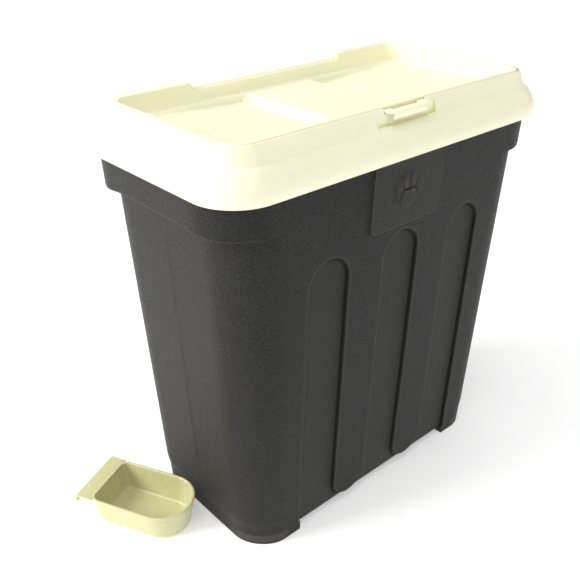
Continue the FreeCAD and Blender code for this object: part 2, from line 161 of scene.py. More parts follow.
SCOOP_ORIGIN = (-221.5, 71.0)
SCOOP_TURN = -64.0
SCOOP_HALF_WIDTH = 30.0
SCOOP_LENGTH = 94.0
SCOOP_TOP = 30.0
SCOOP_CORNER = 10.0


# ---------------------------------------------------------------- mesh helpers
def make_object(name, points, faces):
    """Mesh object from points in millimetres, with doubled points merged and normals outward."""
    mesh = bpy.data.meshes.new(name)
    mesh.from_pydata([tuple(point) for point in np.asarray(points, float) * MM], [], faces)
    obj = bpy.data.objects.new(name, mesh)
    bpy.context.scene.collection.objects.link(obj)
    work = bmesh.new()
    work.from_mesh(mesh)
    bmesh.ops.remove_doubles(work, verts=work.verts, dist=1e-6)
    bmesh.ops.recalc_face_normals(work, faces=work.faces)
    work.to_mesh(mesh)
    work.free()
    return obj


def graded(limit, coarse, zones):
    """Stations from -limit to limit, coarse apart, closer inside each zone (low, high, step) of |x|."""
    half = [0.0]
    while half[-1] < limit - 1e-6:
        here = half[-1]
        step = min([coarse] + [s for low, high, s in zones if low - 1e-6 <= here < high])
        ahead = [low - here for low, _, _ in zones if low > here + 1e-6]
        half.append(min([here + step, limit] + [here + gap for gap in ahead]))
    half = np.array(half)
    return np.concatenate([-half[:0:-1], half])


def rows(start, stop, coarse, zones):
    """Heights from start up to stop, spaced as in graded()."""
    found = [start]
    while found[-1] < stop - 1e-6:
        here = found[-1]
        step = min([coarse] + [s for low, high, s in zones if low - 1e-6 <= here < high])
        ahead = [low for low, _, _ in zones if low > here + 1e-6]
        found.append(min([here + step, stop] + ahead))
    return found


class Layout:
    """How the points of every ring of one piece are spread, so that rings can be joined by quads."""

    def __init__(self, columns, end_steps, side_shares, corner_steps):
        self.columns = np.asarray(columns)
        self.end_steps = end_steps
        self.side_shares = np.asarray(side_shares)
        self.corner_steps = corner_steps
        self.long = len(self.columns) + 2 * end_steps
        self.bend = corner_steps - 1
        self.side = len(self.side_shares)
        self.count = 2 * (self.long + self.side) + 4 * self.bend
        self.back_start = self.long + 2 * self.bend + self.side

    def ring(self, half_length, half_depth, corner, z, centre_y=0.0, squeeze_x=0.0):
        """Rounded rectangle, counter-clockwise from the front left. squeeze_x insets x only."""
        straight_x = half_length - corner
        straight_y = half_depth - corner
        radius_x = corner - squeeze_x
        end = np.linspace(self.columns[-1], straight_x, self.end_steps + 1)[1:]
        xs = np.concatenate([-end[::-1], self.columns, end])
        ys = self.side_shares * straight_y
        parts = [np.stack([xs, np.full(self.long, -half_depth)], 1)]
        turns = ((1, -1, -90), (1, 1, 0), (-1, 1, 90), (-1, -1, 180))
        straights = (np.stack([np.full(self.side, straight_x + radius_x), ys], 1),
                     np.stack([xs[::-1], np.full(self.long, half_depth)], 1),
                     np.stack([np.full(self.side, -straight_x - radius_x), ys[::-1]], 1), None)
        for (sign_x, sign_y, start), straight in zip(turns, straights):
            angle = np.radians(start + np.linspace(0, 90, self.corner_steps + 1)[1:-1])
            parts.append(np.stack([sign_x * straight_x + radius_x * np.cos(angle),
                                   sign_y * straight_y + corner * np.sin(angle)], 1))
            if straight is not None:
                parts.append(straight)
        flat = np.concatenate(parts)
        flat[:, 1] += centre_y
        return np.column_stack([flat, np.full(self.count, z)])

    def close(self, first, flip):
        """Faces that close a narrow ring: quads from front to back and one face at each end."""
        faces = []
        last = first + self.count
        back = first + self.back_start
        for k in range(self.long - 1):
            faces.append([first + k, first + k + 1, back + self.long - 2 - k, back + self.long - 1 - k])
        faces.append(list(range(first + self.long - 1, back + 1)))
        faces.append([first] + list(range(back + self.long - 1, last)))
        return [face[::-1] for face in faces] if flip else faces


def skin(rings, count, loop=False):
    """Quads between each ring and the next; loop also joins the last ring to the first."""
    faces = []
    total = len(rings)
    for k in range(total if loop else total - 1):
        low, high = k * count, ((k + 1) % total) * count
        for j in range(count):
            after = (j + 1) % count
            faces.append([low + j, low + after, high + after, high + j])
    return faces


def curve_through(points, steps=3):
    """Catmull-Rom curve through section points."""
    spots = np.array(points, float)
    padded = np.vstack([2 * spots[0] - spots[1], spots, 2 * spots[-1] - spots[-2]])
    out = []
    for k in range(1, len(padded) - 2):
        a, b, c, d = padded[k - 1:k + 3]
        for t in np.arange(steps) / steps:
            out.append(0.5 * (2 * b + (c - a) * t + (2 * a - 5 * b + 4 * c - d) * t ** 2
                              + (3 * b - a - 3 * c + d) * t ** 3))
    out.append(spots[-1])
    return [tuple(spot) for spot in out]


def smoothstep(low, high, value):
    t = np.clip((np.asarray(value, float) - low) / (high - low), 0.0, 1.0)
    return t * t * (3 - 2 * t)


def prism(name, outline, axis, low, high, bevel=0.0, segments=3):
    """Solid whose outline, in the two other axes, runs along axis from low to high."""
    others = [k for k in range(3) if k != axis]
    points = []
    for level in (low, high):
        for a, b in outline:
            point = [0.0, 0.0, 0.0]
            point[others[0]], point[others[1]], point[axis] = a, b, level
            points.append(point)
    n = len(outline)
    faces = [list(range(n)), list(range(2 * n - 1, n - 1, -1))]
    faces += [[k, (k + 1) % n, n + (k + 1) % n, n + k] for k in range(n)]
    obj = make_object(name, points, faces)
    if bevel:
        work = bmesh.new()
        work.from_mesh(obj.data)
        sharp = [e for e in work.edges if e.calc_face_angle(0.0) > math.radians(40)]
        bmesh.ops.bevel(work, geom=sharp, offset=bevel * MM, segments=segments, profile=0.5,
                        affect="EDGES", clamp_overlap=True)
        work.to_mesh(obj.data)
        work.free()
    return obj


def block(name, x0, x1, y0, y1, z0, z1, bevel=0.0, segments=3):
    outline = [(y0, z0), (y1, z0), (y1, z1), (y0, z1)]
    return prism(name, outline, 0, x0, x1, bevel, segments)


def round_bar(name, radius, x0, x1, y, z, sides=40, bevel=0.0):
    angles = np.linspace(0, 2 * math.pi, sides, endpoint=False)
    outline = [(y + radius * math.cos(a), z + radius * math.sin(a)) for a in angles]
    return prism(name, outline, 0, x0, x1, bevel)


def combine(target, other, operation):
    """Cuts, joins or intersects target with other, which is then removed."""
    modifier = target.modifiers.new("combine", "BOOLEAN")
    modifier.operation = operation
    modifier.object = other
    modifier.solver = "EXACT"
    graph = bpy.context.evaluated_depsgraph_get()
    made = bpy.data.meshes.new_from_object(target.evaluated_get(graph))
    target.modifiers.clear()
    target.data = made
    made.name = target.name
    bpy.data.objects.remove(other)
    return target


def shade(obj, angle):
    """Smooth shading, with edges sharper than angle kept sharp."""
    mesh = obj.data
    mesh.polygons.foreach_set("use_smooth", np.ones(len(mesh.polygons), bool))
    mesh.set_sharp_from_angle(angle=math.radians(angle))
    modifier = obj.modifiers.new("even_shading", "WEIGHTED_NORMAL")
    modifier.keep_sharp = True


def finish_piece(obj, material, body, node, angle=32.0):
    """Moves a piece to the CAD's origin, gives it its material and lets it stand in for its CAD node."""
    obj.data.transform(Matrix.Translation(ORIGIN_SHIFT))
    obj.data.materials.clear()
    obj.data.materials.append(material)
    obj.data.polygons.foreach_set("material_index", np.zeros(len(obj.data.polygons), np.int32))
    shade(obj, angle)
    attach(obj, body)
    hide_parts(node)


# ---------------------------------------------------------------- materials
class Nodes:
    """Small helper for building a node material."""

    def __init__(self, name):
        self.material = bpy.data.materials.new(name)
        self.material.use_nodes = True
        self.tree = self.material.node_tree
        self.tree.nodes.clear()
        self.output = self.add("ShaderNodeOutputMaterial")
        self.shader = self.add("ShaderNodeBsdfPrincipled")
        self.link(self.shader.outputs[0], self.output.inputs[0])
        self.place = self.add("ShaderNodeTexCoord").outputs["Object"]

    def add(self, kind, **settings):
        node = self.tree.nodes.new(kind)
        for key, value in settings.items():
            setattr(node, key, value)
        return node

    def link(self, source, target):
        self.tree.links.new(source, target)

    def noise(self, scale, detail=2.0, roughness=0.5, stretch=None):
        node = self.add("ShaderNodeTexNoise")
        place = self.place
        if stretch:
            mapping = self.add("ShaderNodeMapping")
            mapping.inputs["Scale"].default_value = stretch
            self.link(place, mapping.inputs["Vector"])
            place = mapping.outputs[0]
        self.link(place, node.inputs["Vector"])
        node.inputs["Scale"].default_value = scale
        node.inputs["Detail"].default_value = detail
        node.inputs["Roughness"].default_value = roughness
        return node.outputs["Fac"]

    def cells(self, scale):
        node = self.add("ShaderNodeTexVoronoi", feature="SMOOTH_F1")
        self.link(self.place, node.inputs["Vector"])
        node.inputs["Scale"].default_value = scale
        return node.outputs["Distance"]

    def ramp(self, value, low, high, start=0.0, stop=1.0):
        node = self.add("ShaderNodeMapRange")
        self.link(value, node.inputs["Value"])
        for key, number in zip(("From Min", "From Max", "To Min", "To Max"), (low, high, start, stop)):
            node.inputs[key].default_value = number
        return node.outputs["Result"]

    def math(self, operation, first, second):
        node = self.add("ShaderNodeMath", operation=operation)
        for socket, value in zip(node.inputs, (first, second)):
            if isinstance(value, (int, float)):
                socket.default_value = value
            else:
                self.link(value, socket)
        return node.outputs[0]

    def mix(self, share, first, second):
        node = self.add("ShaderNodeMix", data_type="RGBA")
        self.link(share, node.inputs["Factor"])
        colours = [s for s in node.inputs if s.type == "RGBA"]
        for socket, value in zip(colours, (first, second)):
            if isinstance(value, tuple):
                socket.default_value = (*value, 1.0)
            else:
                self.link(value, socket)
        return [s for s in node.outputs if s.type == "RGBA"][0]

    def bump(self, height, strength, distance, under=None):
        node = self.add("ShaderNodeBump")
        self.link(height, node.inputs["Height"])
        node.inputs["Distance"].default_value = distance
        if isinstance(strength, (int, float)):
            node.inputs["Strength"].default_value = strength
        else:
            self.link(strength, node.inputs["Strength"])
        if under is not None:
            self.link(under, node.inputs["Normal"])
        return node.outputs[0]

    def edges(self, low, high):
        """1 along convex edges, where handling polishes and pales the plastic."""
        return self.ramp(self.add("ShaderNodeNewGeometry").outputs["Pointiness"], low, high)


def tub_material():
    """Dark warm grey plastic with a fine grain, smoother in the flutes, paler on the lips as a painted
    highlight, with painted shade in the flute creases.
    """
    base, cloudy, grain_tip = (0.0058, 0.0055, 0.0052), (0.0072, 0.0068, 0.0064), (0.0245, 0.0233, 0.0222)
    polished, shadowed = (0.0210, 0.0200, 0.0190), (0.0022, 0.0021, 0.0020)
    line_highlight_colour, worn_edge = (0.0480, 0.0460, 0.0430), (0.0700, 0.0670, 0.0630)
    n = Nodes("tub_plastic")
    polish = n.add("ShaderNodeAttribute", attribute_name="polish").outputs["Fac"]
    grain = n.noise(620.0, 3.0, 0.65)
    pits = n.cells(900.0)
    cloud = n.noise(5.0, 2.0)
    colour = n.mix(n.ramp(cloud, 0.35, 0.65), base, cloudy)
    colour = n.mix(n.ramp(grain, 0.46, 0.64, 0.0, 0.85), colour, grain_tip)
    colour = n.mix(n.math("MULTIPLY", polish, 0.30), colour, polished)
    line_highlight = n.add("ShaderNodeAttribute", attribute_name="line_highlight").outputs["Fac"]
    crease_shade = n.add("ShaderNodeAttribute", attribute_name="crease_shade").outputs["Fac"]
    # Painted shade: the creases at the foot of the flute sides are painted near black.
    colour = n.mix(n.math("MULTIPLY", crease_shade, 0.85), colour, shadowed)
    # Painted highlight: the flute lips, the plaque and paw borders and the parting line are painted paler.
    colour = n.mix(n.math("MULTIPLY", line_highlight, 0.8), colour, line_highlight_colour)
    colour = n.mix(n.math("MULTIPLY", n.edges(0.515, 0.58), 0.55), colour, worn_edge)
    n.link(colour, n.shader.inputs["Base Color"])
    rough = n.ramp(n.noise(800.0, 2.0), 0.35, 0.65, 0.40, 0.56)
    n.link(n.math("SUBTRACT", rough, n.math("MULTIPLY", polish, 0.05)), n.shader.inputs["Roughness"])
    strength = n.ramp(polish, 0.0, 1.0, 1.0, 0.70)
    coarse = n.bump(grain, strength, 0.00190)
    n.link(n.bump(pits, 0.40, 0.00030, coarse), n.shader.inputs["Normal"])
    # Less reflection in the creases, to deepen the painted shade.
    n.link(n.ramp(crease_shade, 0.0, 1.0, 0.28, 0.07), n.shader.inputs["Specular IOR Level"])
    return n.material


def cream_material(name, base, shade_colour, rough_low, rough_high, grain_strength, coat):
    """Cream plastic: faint mottling and flow marks, satin sheen, paler edges, and painted shade of deeper
    yellow in gaps.
    """
    n = Nodes(name)
    cloud = n.noise(14.0, 4.0)
    flow = n.noise(26.0, 2.0, 0.5, (1.0, 5.0, 3.0))
    specks = n.noise(1500.0, 1.0)
    colour = n.mix(n.ramp(cloud, 0.3, 0.7), base, shade_colour)
    colour = n.mix(n.ramp(flow, 0.55, 0.75, 0.0, 0.25), colour, shade_colour)
    pale = tuple(min(1.0, channel * 1.05 + 0.02) for channel in base)
    colour = n.mix(n.math("MULTIPLY", n.edges(0.52, 0.60), 0.6), colour, pale)
    # Painted shade: gaps and inner corners, found by ambient occlusion, are painted a deeper yellow.
    gap_occlusion = n.add("ShaderNodeAmbientOcclusion", samples=8)
    gap_occlusion.inputs["Distance"].default_value = 0.005
    painted_gap_shade = (base[0] * 0.93, base[1] * 0.88, base[2] * 0.55)
    colour = n.mix(n.ramp(gap_occlusion.outputs["AO"], 0.35, 0.8, 0.9, 0.0), colour, painted_gap_shade)
    n.link(colour, n.shader.inputs["Base Color"])
    n.link(n.ramp(n.noise(60.0, 3.0), 0.3, 0.7, rough_low, rough_high), n.shader.inputs["Roughness"])
    fine = n.bump(specks, grain_strength, 0.00012)
    n.link(n.bump(flow, 0.05, 0.0006, fine), n.shader.inputs["Normal"])
    n.shader.inputs["Subsurface Weight"].default_value = 0.18
    n.shader.inputs["Subsurface Radius"].default_value = (1.0, 0.8, 0.35)
    n.shader.inputs["Subsurface Scale"].default_value = 0.0035
    n.shader.inputs["Coat Weight"].default_value = coat
    n.shader.inputs["Coat Roughness"].default_value = 0.18
    return n.material


TUB_PLASTIC = tub_material()
LID_PLASTIC = cream_material("lid_plastic", (0.885, 0.870, 0.655), (0.860, 0.838, 0.605),
                             0.34, 0.46, 0.22, 0.06)
PIN_PLASTIC = cream_material("pin_plastic", (0.860, 0.840, 0.620), (0.800, 0.775, 0.540),
                             0.30, 0.42, 0.15, 0.05)
SCOOP_PLASTIC = cream_material("scoop_plastic", (0.580, 0.566, 0.308), (0.568, 0.553, 0.298),
                               0.20, 0.32, 0.12, 0.22)


# ---------------------------------------------------------------- container
def flute_share(x, z):
    """1 on the floor of a flute, 0 on the wall; then 1 along the lip, where a highlight is painted, and 1
    down the sloped side, where shade is painted.
    """
    centres = np.array([-FLUTE_SPACING, 0.0, FLUTE_SPACING])
    across = np.abs(x[:, None] - centres[None, :])
    slots = (np.hypot(across, max(z - FLUTE_SPRING, 0.0)) - FLUTE_HALF_WIDTH).min(1)
    if z < PILLAR_SPRING:
        pillar_radius = FLUTE_SPACING / 2 - FLUTE_HALF_WIDTH
        drop = z - PILLAR_SPRING
        pillars = np.hypot(np.abs(x) - FLUTE_SPACING / 2, drop)
        outer = np.abs(x) - FOOT_INNER_X
        slots = np.maximum(outer, pillar_radius - pillars)
    share = 1.0 - smoothstep(-FLUTE_SLOPE / 2, FLUTE_SLOPE / 2, slots)
    lip = np.exp(-((slots - FLUTE_SLOPE * LIP_OFFSET) / LIP_WIDTH) ** 2)
    crease_shade = np.exp(-((slots + FLUTE_SLOPE * CREASE_OFFSET) / CREASE_WIDTH) ** 2)
    return share, lip, crease_shade


def plaque_rise(x, z):
    """How far the plaque and its paw print stand out at a point of the front wall."""
    dx = np.abs(x) - (PLAQUE_HALF_WIDTH - PLAQUE_CORNER)
    dz = (PLAQUE_BOTTOM + PLAQUE_CORNER) - z
    outside = np.hypot(np.maximum(dx, 0), max(dz, 0.0)) - PLAQUE_CORNER
    panel = 1.0 - smoothstep(-0.5, 0.3, outside)
    # The border mask marks a painted highlight line round the plaque and the paw pads.
    border = np.exp(-((outside + 0.6) / 0.6) ** 2)
    pads = np.zeros(len(x))
    for offset_x, offset_z, radius_x, radius_z in PAW_PADS:
        reach = np.hypot((x - offset_x) / radius_x, (z - PAW_HEIGHT - offset_z) / radius_z)
        gap = (reach - 1.0) * min(radius_x, radius_z)
        pads = np.maximum(pads, 1.0 - smoothstep(-PAW_EDGE, PAW_EDGE, gap))
        border = np.maximum(border, 0.8 * np.exp(-((gap + 0.5) / 0.6) ** 2))
    return PLAQUE_PROUD * panel, PAW_PROUD * pads, panel, border


def tub_size(z, inset=0.0):
    """Half length, half depth and corner radius of the tapered tub at height z."""
    return (TUB["half_length"] + TAPER["length"] * z - inset, TUB["half_depth"] + TAPER["depth"] * z - inset,
            TUB["corner"] + TAPER["corner"] * z - inset)


def band_size(z, inset=0.0):
    """The same for the band above the hand ledges, which is longer than the tub."""
    return (LEDGE_HALF_LENGTH + LEDGE_DRAFT * (z - LEDGE_UNDERSIDE) - inset,
            TUB["half_depth"] + TAPER["depth"] * z - inset, LEDGE_CORNER - inset)


def low_step(points, z):
    """Sets the short sides and their corners in near the floor, fading out towards front and back."""
    half_length, half_depth, corner = tub_size(z)
    across = np.clip((np.abs(points[:, 0]) - half_length + corner) / corner, 0.0, 1.0)
    along = np.clip((np.abs(points[:, 1]) - half_depth + corner) / corner, 0.0, 1.0)
    depth = LOW_STEP * (1.0 - smoothstep(LOW_STEP_FROM, LOW_STEP_TO, z)) * smoothstep(0.15, 0.8, across)
    points[:, 0] -= np.sign(points[:, 0]) * depth * across
    points[:, 1] -= np.sign(points[:, 1]) * depth * along


def make_tub():
    # Points are closer together where the sides of the flutes and the plaque's edges fall.
    columns = graded(FLUTED_HALF_LENGTH, 3.0, [
        (0.0, 17.0, 1.0), (17.0, 26.0, 0.8), (26.0, 40.0, 1.6), (40.0, 44.0, 0.5), (44.0, 59.0, 1.6),
        (59.0, 68.0, 0.8), (68.0, 101.0, 1.6), (101.0, FLUTED_HALF_LENGTH, 0.8)])
    shares = np.concatenate([np.linspace(-1, -0.03, 13), [-0.012, 0.0, 0.012], np.linspace(0.03, 1, 13)])
    layout = Layout(columns, 5, shares, 14)
    front = slice(0, layout.long)
    back = slice(layout.back_start, layout.back_start + layout.long)
    rings, marks = [], []

    def add(points, mark=None):
        rings.append(points)
        marks.append(np.zeros((layout.count, 3)) if mark is None else mark)

    def wall(z, inset, outside):
        points = layout.ring(*tub_size(z, inset), z)
        mark = np.zeros((layout.count, 3))
        bulge = WALL_BULGE * math.sin(math.pi * np.clip((z - BULGE_FROM) / BULGE_HEIGHT, 0, 1))
        for part, side in ((front, -1), (back, 1)):
            x = points[part, 0]
            share, lip, crease_shade = flute_share(x, z)
            points[part, 1] -= side * FLUTE_DEPTH * share
            points[part, 1] += side * bulge * np.cos(math.pi * x / BULGE_LENGTH) ** 2
            mark[part] = np.stack([share, lip, crease_shade], 1)
        if outside:
            panel, pads, cover, border = plaque_rise(points[front, 0], z)
            points[front, 1] -= panel + pads
            mark[front, 0] = np.maximum(mark[front, 0], cover * 0.8)
            mark[front, 1] = np.maximum(mark[front, 1], border)
            low_step(points, z)
            on_side = np.abs(points[:, 0]) > tub_size(z)[0] - 2.0
            line = on_side * (np.abs(points[:, 1]) < 0.2) * (PARTING_FROM < z < PARTING_TO)
            points[:, 0] += np.sign(points[:, 0]) * PARTING_LINE * line
            # Painted highlight along the parting line.
            mark[:, 1] = np.maximum(mark[:, 1], 0.8 * line)
        return points, mark

    # Underside and the small round at the bottom edge.
    for inset in (75.0, 50.0, 25.0):
        add(layout.ring(*bottom_size(inset), FOOT_HEIGHT))
    for angle in (0, 20, 40, 60, 75):
        lift = BOTTOM_ROUND * (1 - math.cos(math.radians(angle)))
        inset = BOTTOM_ROUND * (1 - math.sin(math.radians(angle)))
        add(*wall(FOOT_HEIGHT + lift, inset, True))
    zones = [(9.0, 52.0, 1.5), (257.0, 287.0, 1.4), (287.0, 296.0, 0.6), (306.0, 332.0, 1.1)]
    for z in rows(FOOT_HEIGHT + BOTTOM_ROUND, LEDGE_UNDERSIDE - 6.0, 7.5, zones):
        add(*wall(z, 0.0, True))

    # The hand ledge: its underside is lower towards the corners.
    reference = layout.ring(*tub_size(LEDGE_UNDERSIDE), LEDGE_UNDERSIDE)
    dip = LEDGE_DIP * smoothstep(LEDGE_DIP_FROM, LEDGE_DIP_TO, np.abs(reference[:, 1]))
    under = LEDGE_LOWER_EDGE - dip
    on_long = np.zeros(layout.count, bool)
    on_long[front] = True
    on_long[back] = True
    for drop, out in ((2.2, 0.0), (0.9, 0.15), (0.25, 0.7)):
        height = under - drop
        mark = wall(LEDGE_UNDERSIDE, 0.0, True)[1]
        lower, upper = (wall(z, 0.0, True)[0] for z in LEDGE_BLEND)
        share = ((height - LEDGE_BLEND[0]) / (LEDGE_BLEND[1] - LEDGE_BLEND[0]))[:, None]
        spots = lower * (1 - share) + upper * share
        spots[:, 0] += np.sign(spots[:, 0]) * np.where(on_long, 0.0, out)
        spots[:, 2] = height
        add(spots, mark)
    for rise, squeeze in ((0.0, 2.6), (0.25, 1.2), (0.9, 0.45), (2.0, 0.1), (3.2, 0.0)):
        height = under + rise
        points, mark = wall(float(height[0]), 0.0, True)
        ledge = layout.ring(*band_size(LEDGE_UNDERSIDE + rise), LEDGE_UNDERSIDE + rise, 0.0, squeeze)
        spots = ledge.copy()
        spots[on_long, 1] = points[on_long, 1]
        spots[:, 2] = height
        mark[~on_long] = 0.0
        add(spots, mark)
    for z in rows(331.0, BAND_TOP - 1.0, 3.0, [(331.0, 333.0, 1.1)]):
        ledge = layout.ring(*band_size(z), z)
        body, mark = wall(z, 0.0, True)
        ledge[on_long, 1] = body[on_long, 1]
        add(ledge, mark)
    for lift, inset in ((0.35, 0.18), (0.0, 0.7)):
        ledge = layout.ring(*band_size(BAND_TOP, inset), BAND_TOP - lift)
        add(ledge)

    # Neck, rim and inside.
    neck = (NECK["half_length"], NECK["half_depth"], NECK["corner"])
    for inset, z in ((0.0, BAND_TOP + 0.02), (0.0, 352.0), (0.0, 360.0), (0.0, RIM_SIDE_TOP),
                     (0.3, RIM_SHOULDER), (1.0, RIM_TOP), (1.6, RIM_TOP), (2.3, RIM_SHOULDER),
                     (WALL, RIM_SIDE_TOP), (WALL, 352.0), (WALL, BAND_TOP - WALL)):
        add(layout.ring(*(size - inset for size in neck), z))
    for z in (BAND_TOP - WALL - 0.1, 338.0, LEDGE_UNDERSIDE + WALL + 1.0):
        add(layout.ring(*band_size(z, WALL), z))
    inner_zones = [(258.0, 286.0, 2.4), (12.0, 40.0, 2.4)]
    for z in rows(14.0, LEDGE_UNDERSIDE + WALL, 14.0, inner_zones)[::-1]:
        add(*wall(z, WALL, False))
    for z, extra in ((11.2, 0.5), (9.4, 1.6), (FLOOR_TOP, 3.2)):
        add(*wall(z, WALL + extra, False))
    for inset in (25.0, 50.0, 75.0):
        add(layout.ring(*bottom_size(inset), FLOOR_TOP))

    faces = skin(rings, layout.count)
    faces += layout.close(0, True)
    faces += layout.close((len(rings) - 1) * layout.count, False)
    points = np.concatenate(rings)
    mesh = bpy.data.meshes.new("tub_shell")
    mesh.from_pydata([tuple(point) for point in points * MM], [], faces)
    values = np.concatenate(marks).astype(np.float32)
    for column, name in enumerate(("polish", "line_highlight", "crease_shade")):
        layer = mesh.attributes.new(name, "FLOAT", "POINT")
        layer.data.foreach_set("value", np.ascontiguousarray(values[:, column]))
    obj = bpy.data.objects.new("tub_shell", mesh)
    bpy.context.scene.collection.objects.link(obj)
    work = bmesh.new()
    work.from_mesh(mesh)
    bmesh.ops.recalc_face_normals(work, faces=work.faces)
    work.to_mesh(mesh)
    work.free()
    return obj


def bottom_size(inset):
    """Outline that shrinks to a narrow strip, for flat floors."""
    half_length, half_depth, corner = tub_size(FOOT_HEIGHT)
    return half_length - inset * 0.6, half_depth - inset, max(corner - inset * 0.45, 1.5)


def make_feet():
    """A pair of feet at each end, joined by a skirt: the ends of the tub's outline down to the floor."""
    layout = Layout(graded(FLUTED_HALF_LENGTH, 12.0, []), 4, np.linspace(-1, 1, 9), 14)
    sections = [(0.0, 1.0), (0.35, 0.35), (1.2, 0.0), (2.0, 0.0), (5.0, 0.0),
                (FOOT_HEIGHT + BOTTOM_ROUND, 0.02)]
    beyond_x, beyond_y, below, above = 200.0, 120.0, -2.0, 14.0
    feet = []
    for sign_x in (-1, 1):
        rings = [layout.ring(*tub_size(z, inset), z) for z, inset in sections]
        for ring in rings:
            low_step(ring, ring[0, 2])
        faces = skin(rings, layout.count)
        faces.append(list(range(layout.count))[::-1])
        top = (len(rings) - 1) * layout.count
        faces.append(list(range(top, top + layout.count)))
        foot = make_object("foot", np.concatenate(rings), faces)
        near, far = sorted((sign_x * FOOT_INNER_X, sign_x * beyond_x))
        combine(foot, block("cutter", near, far, -beyond_y, beyond_y, below, above), "INTERSECT")
        near, far = sorted((sign_x * (FOOT_INNER_X - 1.0), sign_x * (TUB["half_length"] - FOOT_SKIRT)))
        combine(foot, block("channel", near, far, -FOOT_INNER_Y, FOOT_INNER_Y, below, above),
                "DIFFERENCE")
        feet.append(foot)
    return feet


tub = make_tub()
for foot in make_feet():
    combine(tub, foot, "UNION")
tub.name = "tub_shell"
finish_piece(tub, TUB_PLASTIC, "tub", "container", 40.0)


# ---------------------------------------------------------------- lid frame
def lid_ring(layout, inset, z):
    return layout.ring(LID["half_length"] - inset, LID["half_depth"] - inset, LID["corner"] - inset, z)


def solid_between(name, layout, section):
    """Closed solid through lid rings, for cutting and intersecting."""
    rings = [lid_ring(layout, inset, z) for inset, z in section]
    faces = skin(rings, layout.count)
    top = (len(rings) - 1) * layout.count
    faces += [list(range(layout.count))[::-1], list(range(top, top + layout.count))]
    return make_object(name, np.concatenate(rings), faces)


def make_lid():
    layout = Layout(graded(100.0, 8.0, []), 6, np.linspace(-1, 1, 17), 18)
    outside = curve_through(SKIRT)[:-1] + curve_through(LEDGE)[:-1] + curve_through(DOME)
    section = outside + LID_INSIDE
    rings = [lid_ring(layout, inset, z) for inset, z in section]
    lid = make_object("lid_shell", np.concatenate(rings), skin(rings, layout.count, loop=True))

    half, floor, back = RECESS["half_width"], RECESS["floor"], RECESS["back"]
    lining = block("lining", -half - LINING, half + LINING, -96.0, back + LINING, floor - LINING, 389.0)
    combine(lining, solid_between("hull", layout, outside), "INTERSECT")
    combine(lid, lining, "UNION")
    for side in (-1, 1):
        near, far = side * REAR_CUT["half_length"], side * (REAR_CUT["half_length"] + LINING)
        cheek = block("cheek", min(near, far), max(near, far), REAR_CUT["front"], 92.5, 372.0, 383.5)
        combine(cheek, solid_between("hull", layout, outside), "INTERSECT")
        combine(lid, cheek, "UNION")
    opening = solid_between("opening", layout, [(OPENING_INSET, 360.0), (OPENING_INSET, ABOVE_ALL)])
    combine(lid, opening, "DIFFERENCE")
    combine(lid, solid_between("rabbet", layout, GROOVE), "DIFFERENCE")
    r = RECESS["fillet"]
    turn = [(r * (1 - math.sin(a)), r * (1 - math.cos(a))) for a in np.radians([0, 22.5, 45, 67.5, 90])]
    outline = [(-half, ABOVE_ALL)] + [(-half + dx, floor + dz) for dx, dz in turn[::-1]]
    outline += [(-x, z) for x, z in outline[::-1]]
    combine(lid, prism("recess", outline, 1, -110.0, back), "DIFFERENCE")
    notch = CLIP["half_width"] + NOTCH_SIDE_GAP
    combine(lid, block("notch", -notch, notch, -110.0, -84.0, CLIP["low"] - NOTCH_LOW_GAP, ABOVE_ALL),
            "DIFFERENCE")
    combine(lid, block("rear", -REAR_CUT["half_length"], REAR_CUT["half_length"],
                       REAR_CUT["front"], 110.0, DECK_TOP, ABOVE_ALL), "DIFFERENCE")
    deck = block("deck", -REAR_CUT["half_length"] - 1, REAR_CUT["half_length"] + 1, DECK_FRONT, DECK_BACK,
                 DECK_TOP - LINING, DECK_TOP)
    combine(deck, solid_between("hull", layout, outside), "INTERSECT")
    combine(lid, deck, "UNION")
    combine(lid, block("rib", -BARREL_HALF_LENGTH, BARREL_HALF_LENGTH, *HINGE_RIB,
                       DECK_TOP - 1.0, HINGE_Z), "UNION")
    combine(lid, round_bar("barrel", BARREL_RADIUS, -BARREL_HALF_LENGTH, BARREL_HALF_LENGTH,
                           HINGE_Y, HINGE_Z, 40, 0.4), "UNION")
    for side in (-1, 1):
        inner, outer = side * (BARREL_HALF_LENGTH - LID_BORE_DEPTH), side * (BARREL_HALF_LENGTH + 1.0)
        combine(lid, round_bar("bore", LID_BORE_RADIUS, min(inner, outer), max(inner, outer),
                               HINGE_Y, HINGE_Z, 32), "DIFFERENCE")
    return lid


lid = make_lid()
finish_piece(lid, LID_PLASTIC, "lid", "lid_frame")


# ---------------------------------------------------------------- flap
def tray_size(inset):
    """Tray outline: the rim's outline moved in, with its back edge further forward."""
    half_length = LID["half_length"] - FLAP_INSET - inset
    front = -(LID["half_depth"] - FLAP_INSET - inset)
    back = TRAY_BACK + RIM_WIDTH - inset
    corner = max(LID["corner"] - FLAP_INSET - inset, 4.0)
    return (half_length, (back - front) / 2.0, corner), (back + front) / 2.0


def floor_height(x, y):
    """Tray floor: on each side of the middle platform a well that deepens towards it."""
    depth = np.zeros(len(x))
    edge = 1.0 - smoothstep(WELL_HALF_DEPTH - WELL_EDGE, WELL_HALF_DEPTH, np.abs(y))
    for side, inner in ((-1, WELL_INNER[0]), (1, WELL_INNER[1])):
        bottom = inner + side * WELL_SLOPE
        slope = side * (x - inner) / WELL_SLOPE
        long_run = side * (side * WELL_OUTER - x) / (side * (side * WELL_OUTER - bottom))
        depth = np.maximum(depth, WELL_DEPTH * np.clip(np.minimum(slope, long_run), 0.0, 1.0))
    return TRAY_FLOOR - depth * edge


